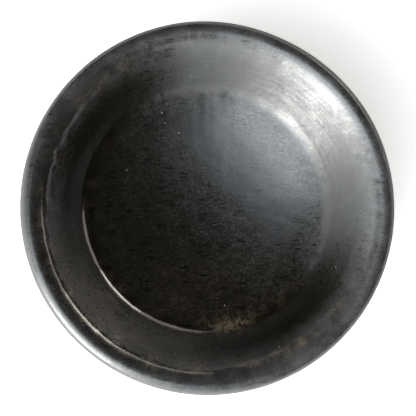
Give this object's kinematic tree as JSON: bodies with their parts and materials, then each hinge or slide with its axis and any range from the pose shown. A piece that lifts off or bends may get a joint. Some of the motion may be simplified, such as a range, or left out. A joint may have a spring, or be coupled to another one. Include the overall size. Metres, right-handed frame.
{
  "type": "wooden offering bowl",
  "caption": "Shallow turned bowl of dark burnished wood with a broad dished floor, thick rounded rim and a pegged foot ring, for holding offerings.",
  "frame": {"origin": "on the table, on the bowl's turning axis, under the foot ring", "axes": "+Z up along the turning axis, +X to the right and +Y up in the picture"},
  "size_m": [0.15, 0.15, 0.042],
  "materials": {
    "burnished_black_wood": "blackened, burnished to a satin gloss",
    "black_stained_foot_wood": "stained black, satin",
    "dark_peg_wood": "end grain, stained dark brown",
    "dark_plug_wood": "stained dark brown, dull"
  },
  "bodies": {
    "root": {"bowl_body": "burnished_black_wood", "foot_ring": "black_stained_foot_wood", "foot_peg_1": "dark_peg_wood", "foot_peg_2": "dark_peg_wood", "foot_peg_3": "dark_peg_wood", "centre_plug": "dark_plug_wood"}
  },
  "joints": []
}
